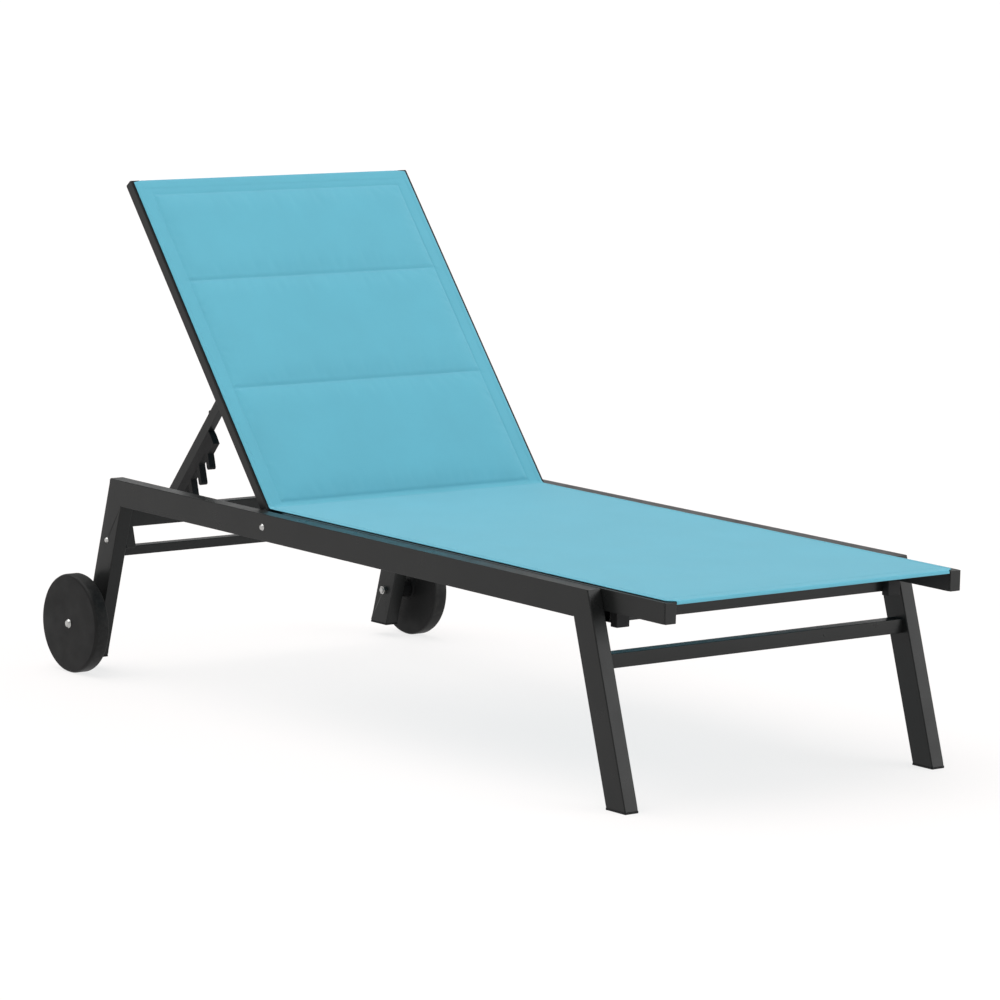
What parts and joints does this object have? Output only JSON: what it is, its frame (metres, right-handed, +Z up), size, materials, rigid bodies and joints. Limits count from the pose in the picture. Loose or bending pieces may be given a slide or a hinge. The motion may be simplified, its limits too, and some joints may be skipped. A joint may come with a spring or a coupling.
{
  "type": "sun lounger",
  "caption": "Reclining sun lounger: tube frame on front feet and rear wheels, one padded sling, backrest held by a hooked prop on a rear bar",
  "frame": {"origin": "centre of the bounding box footprint, on the floor", "axes": "+X toward the foot end, Y across the lounger, +Z up"},
  "size_m": [1.7061, 0.8194, 0.9155],
  "materials": {
    "frame": "fine textured dark grey powder coat on aluminium tube",
    "sling": "turquoise woven outdoor mesh over thin foam, welted and stitched",
    "plastic": "black moulded plastic, matte",
    "wheel": "black moulded plastic disc, faint grain",
    "fixings": "zinc plated steel bolts, nuts and rivets"
  },
  "bodies": {
    "frame": {"outer_rail_r": "frame", "outer_rail_l": "frame", "front_leg_r": "frame", "front_leg_l": "frame", "rear_leg_r": "frame", "rear_leg_l": "frame", "front_feet": "plastic", "rear_feet": "plastic", "front_stretcher": "frame", "rear_stretcher": "frame", "rest_bar": "frame", "rear_end_blocks": "frame", "rear_leg_screws": "fixings", "seat_rail_r": "frame", "seat_rail_l": "frame", "seat_front_caps": "plastic", "seat_rear_caps": "plastic", "foot_hem_bar": "frame", "seat_front_tube": "frame", "seat_mid_tube": "frame", "seat_rear_tube": "frame", "stacking_blocks": "plastic", "seat_bolts": "fixings", "hinge_bolts": "fixings", "hinge_washers": "plastic", "axle_bolts": "fixings", "axle_nuts": "fixings", "wheel_spacers": "plastic", "seat_sling": "sling"},
    "backrest": {"back_rail_r": "frame", "back_rail_l": "frame", "back_top_tube": "frame", "back_mid_tube": "frame", "back_low_tube": "frame", "back_top_caps": "plastic", "back_end_caps": "plastic", "hinge_plate_r": "frame", "hinge_plate_l": "frame", "hinge_plate_rivets": "fixings", "prop_brackets": "frame", "prop_pivot_bolts": "fixings", "back_sling": "sling"},
    "prop": {"prop_arm_r": "frame", "prop_arm_l": "frame", "rack_r": "plastic", "rack_l": "plastic", "rack_screws": "fixings", "prop_cross_rod": "frame"},
    "wheel_right": {"wheel_r": "wheel"},
    "wheel_left": {"wheel_l": "wheel"}
  },
  "joints": [
    {"name": "backrest_recline", "type": "hinge", "parent": "frame", "child": "backrest", "pos_m": [-0.22256, 0, 0.3367], "axis": [0, -1, 0], "range_deg": [0, 49]},
    {"name": "prop_fold", "type": "hinge", "parent": "backrest", "child": "prop", "pos_m": [-0.48108, 0, 0.6234], "axis": [0, 1, 0], "range_deg": [0, 98]},
    {"name": "wheel_right_spin", "type": "hinge", "parent": "frame", "child": "wheel_right", "pos_m": [-0.76105, -0.39, 0.092], "axis": [0, 1, 0], "continuous": true},
    {"name": "wheel_left_spin", "type": "hinge", "parent": "frame", "child": "wheel_left", "pos_m": [-0.76105, 0.39, 0.092], "axis": [0, 1, 0], "continuous": true}
  ],
  "couplings": [
    {"joint": "prop_fold", "follows": "backrest_recline", "ratio": 2}
  ]
}
